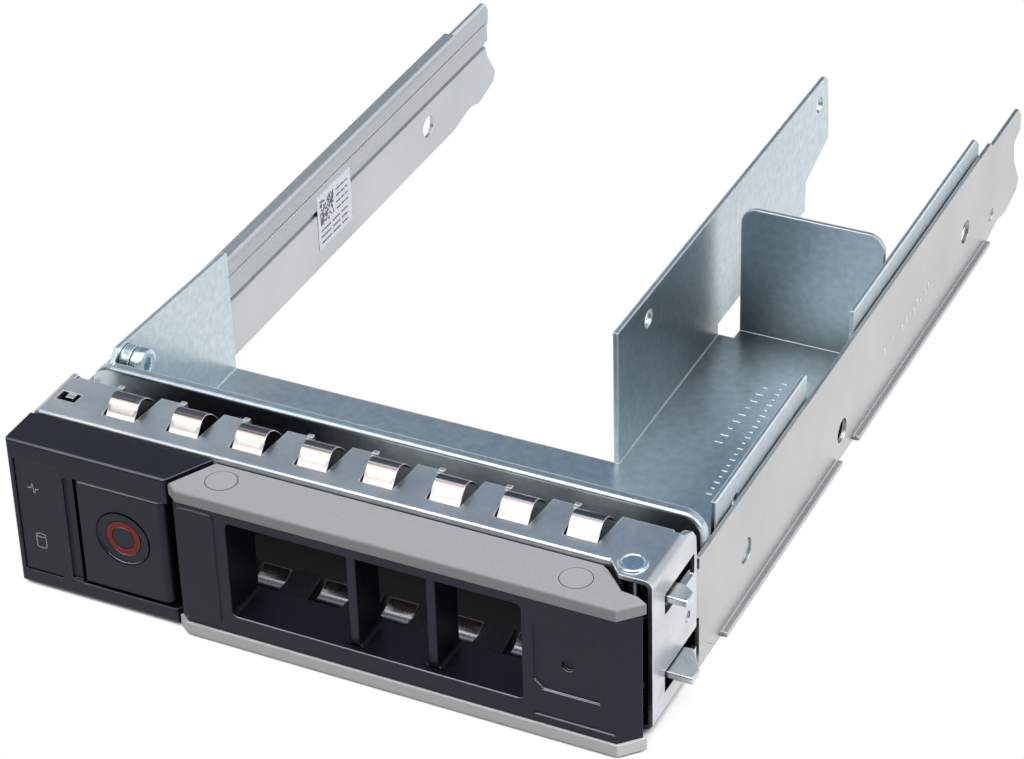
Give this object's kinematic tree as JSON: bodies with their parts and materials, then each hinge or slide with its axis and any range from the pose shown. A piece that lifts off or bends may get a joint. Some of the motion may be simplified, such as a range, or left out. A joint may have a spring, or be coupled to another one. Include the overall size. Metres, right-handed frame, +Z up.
{
  "type": "hot swap drive caddy",
  "caption": "Folded steel drive tray with a black front bezel, release button, swing handle with side hooks, shielding fingers and an adapter for a smaller drive.",
  "frame": {"origin": "middle of the base, on the table plane under the rails", "axes": "+Y from the handle to the rear ends of the rails, +X to the side of the handle's pivot, +Z up"},
  "size_m": [0.1122, 0.1748, 0.03],
  "materials": {
    "plated_steel": "satin plated sheet",
    "zinc_steel": "mottled zinc sheet",
    "satin_steel": "satin sheet",
    "spring_steel": "bright spring sheet",
    "blue_zinc_steel": "bright blue zinc",
    "black_plastic": "fine texture",
    "smoked_plastic": "satin smoked",
    "orange_plastic": "satin",
    "grey_plastic": "fine texture",
    "clear_plastic": "clear, satin edges",
    "label_paper": "printed paper"
  },
  "bodies": {
    "tray": {"front_cover": "plated_steel", "emi_fingers_top": "spring_steel", "emi_fingers_bottom": "spring_steel", "bezel_housing": "black_plastic", "status_strip": "smoked_plastic", "button_spring": "spring_steel", "pivot_pin": "zinc_steel", "handle_spring": "spring_steel", "right_rail": "satin_steel", "left_rail": "satin_steel", "light_pipe_upper": "clear_plastic", "light_pipe_lower": "clear_plastic", "adapter_bracket": "zinc_steel", "adapter_screw": "blue_zinc_steel", "screw_collar": "blue_zinc_steel", "rail_label": "label_paper"},
    "handle": {"handle_body": "black_plastic", "handle_top_cap": "grey_plastic", "handle_bottom_cap": "grey_plastic", "handle_plugs": "grey_plastic", "hook_lever": "plated_steel"},
    "button": {"release_button": "black_plastic", "button_ring": "orange_plastic"},
    "catch": {"release_catch": "black_plastic"}
  },
  "joints": [
    {"name": "handle_swing", "type": "hinge", "parent": "tray", "child": "handle", "pos_m": [0.04752, -0.07745, 0.014], "axis": [0, 0, 1], "range_deg": [0, 33]},
    {"name": "button_press", "type": "slide", "parent": "tray", "child": "button", "axis": [0, 1, 0], "range_m": [0, 0.002], "stiffness_N_per_m": 400, "springref_m": -0.001, "deforming": ["button_spring"]},
    {"name": "catch_slide", "type": "slide", "parent": "tray", "child": "catch", "axis": [-1, 0, 0], "range_m": [0, 0.0012]}
  ],
  "couplings": [
    {"joint": "catch_slide", "follows": "button_press", "ratio": 0.6}
  ]
}
